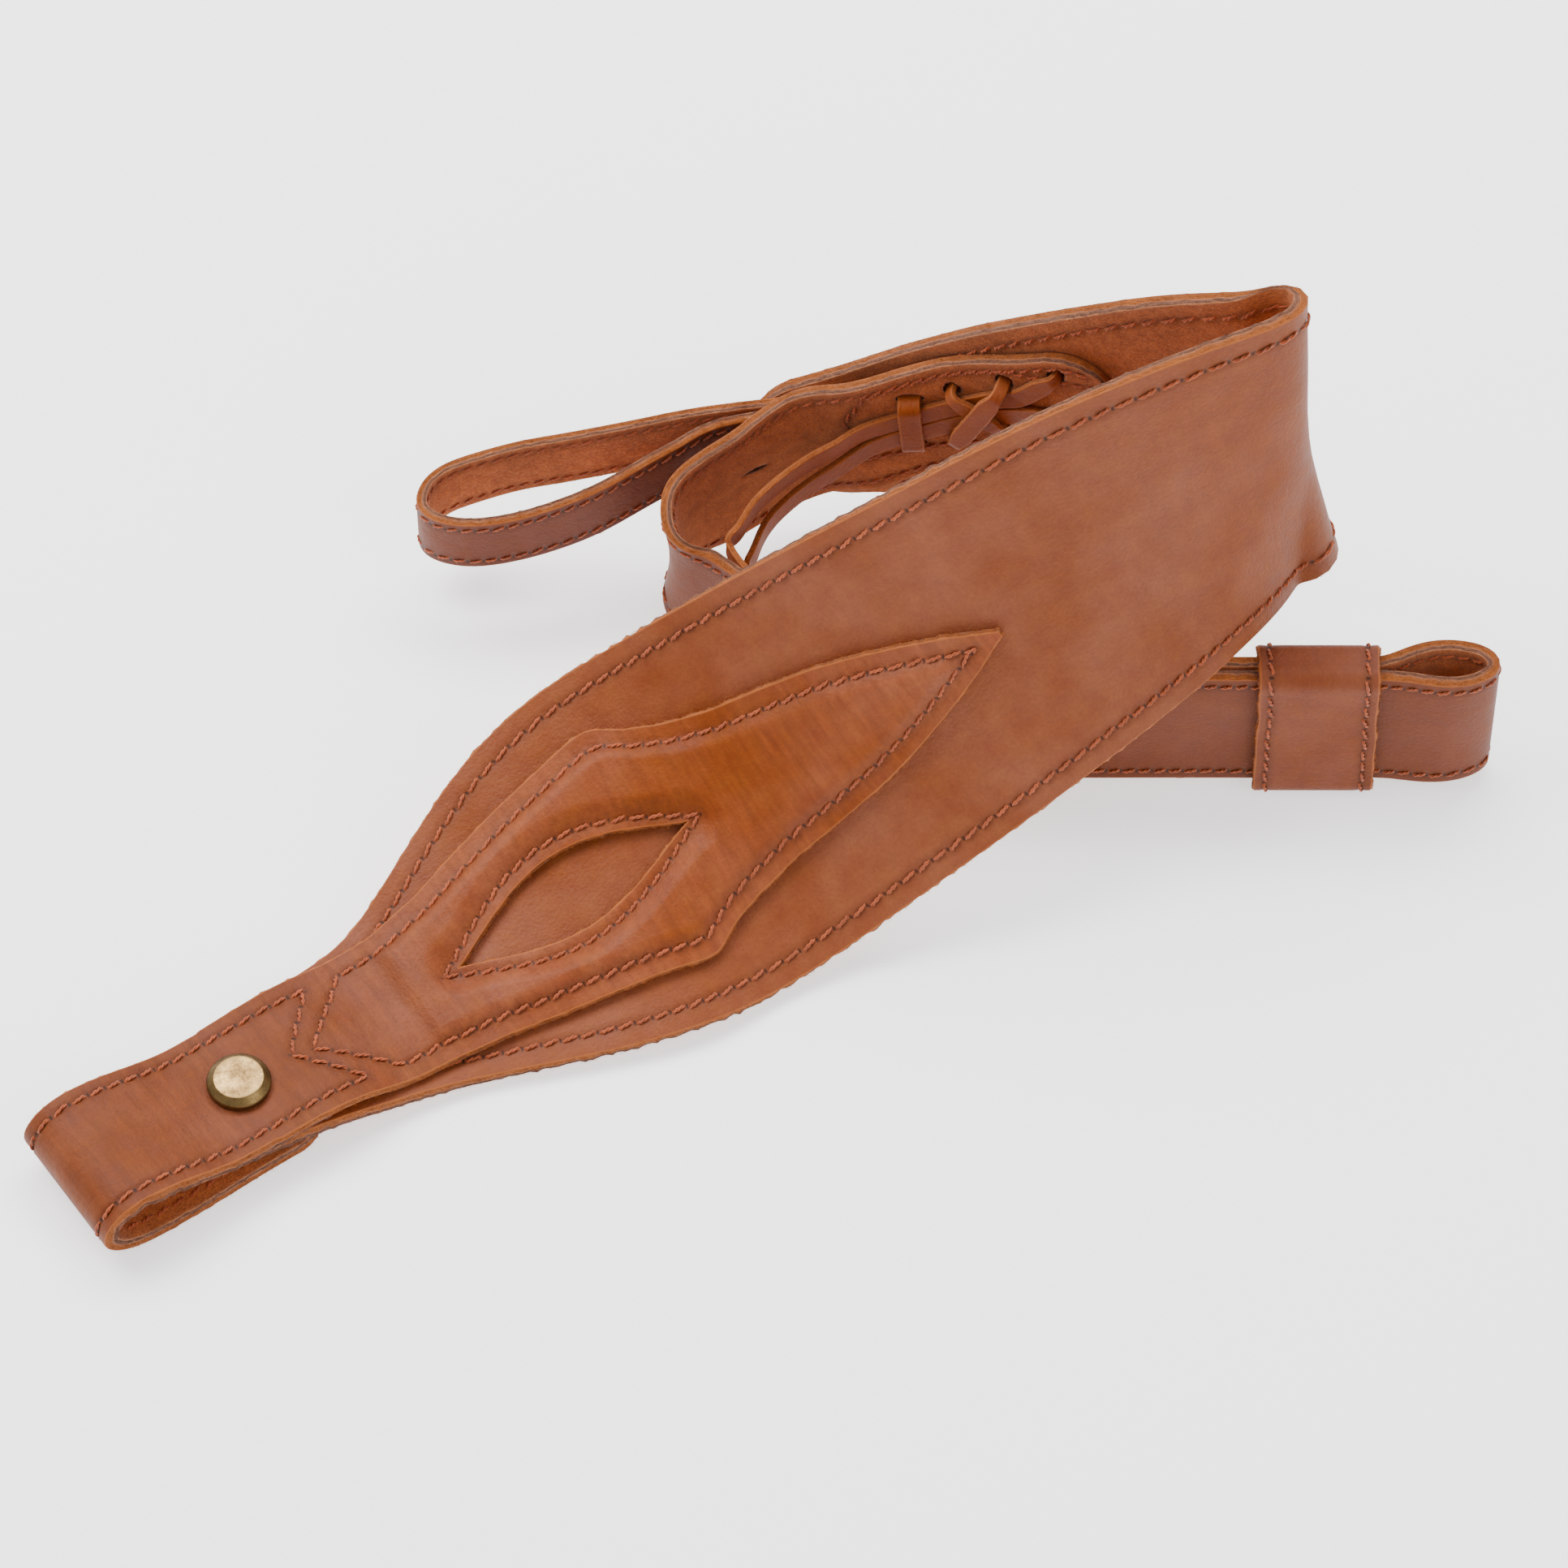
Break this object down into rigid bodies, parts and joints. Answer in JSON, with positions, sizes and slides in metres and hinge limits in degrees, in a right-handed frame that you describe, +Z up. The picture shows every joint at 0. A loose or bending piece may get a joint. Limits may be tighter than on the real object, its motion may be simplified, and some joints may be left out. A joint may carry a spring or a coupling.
{
  "type": "leather shoulder strap",
  "caption": "Wide padded leather shoulder strap with a studded front loop, laced tail strap, sliding keeper, end loop and hand loop, lying coiled.",
  "frame": {"origin": "middle of the bounding box at its bottom, on the floor that the strap lies on", "axes": "+X along the straight run of the tail strap towards the end loop, +Y away from the viewer, +Z up"},
  "size_m": [0.3388, 0.216, 0.1285],
  "materials": {
    "smooth_leather": "waxed reddish-brown pull-up leather with faint mottling",
    "suede_lining": "napped warm brown suede",
    "foam_padding": "matt felt padding",
    "lace_leather": "smooth narrow leather thong with raw edges",
    "antique_brass": "darkened antique brass"
  },
  "bodies": {
    "strap": {"front_tab_leather": "smooth_leather", "front_tab_lining": "suede_lining", "front_tab_padding": "foam_padding", "hand_loop_leather": "smooth_leather", "hand_loop_lining": "suede_lining", "lace_back_lower": "lace_leather", "lace_back_upper": "lace_leather", "lace_band": "lace_leather", "lace_cross_over": "lace_leather", "lace_cross_under": "lace_leather", "lace_lower": "lace_leather", "lace_upper": "lace_leather", "shoulder_leather": "smooth_leather", "shoulder_lining": "suede_lining", "stud_cap": "antique_brass", "tail_leather": "smooth_leather", "tail_lining": "suede_lining"},
    "keeper": {"keeper_leather": "smooth_leather", "keeper_lining": "suede_lining"},
    "screw": {"stud_screw": "antique_brass"}
  },
  "joints": [
    {"name": "keeper_slide", "type": "slide", "parent": "strap", "child": "keeper", "axis": [1, 0, 0], "range_m": [-0.045, 0]},
    {"name": "stud_screw_turn", "type": "hinge", "parent": "strap", "child": "screw", "pos_m": [-0.12071, -0.06687, 0.004], "axis": [0, 0, 1], "continuous": true}
  ]
}
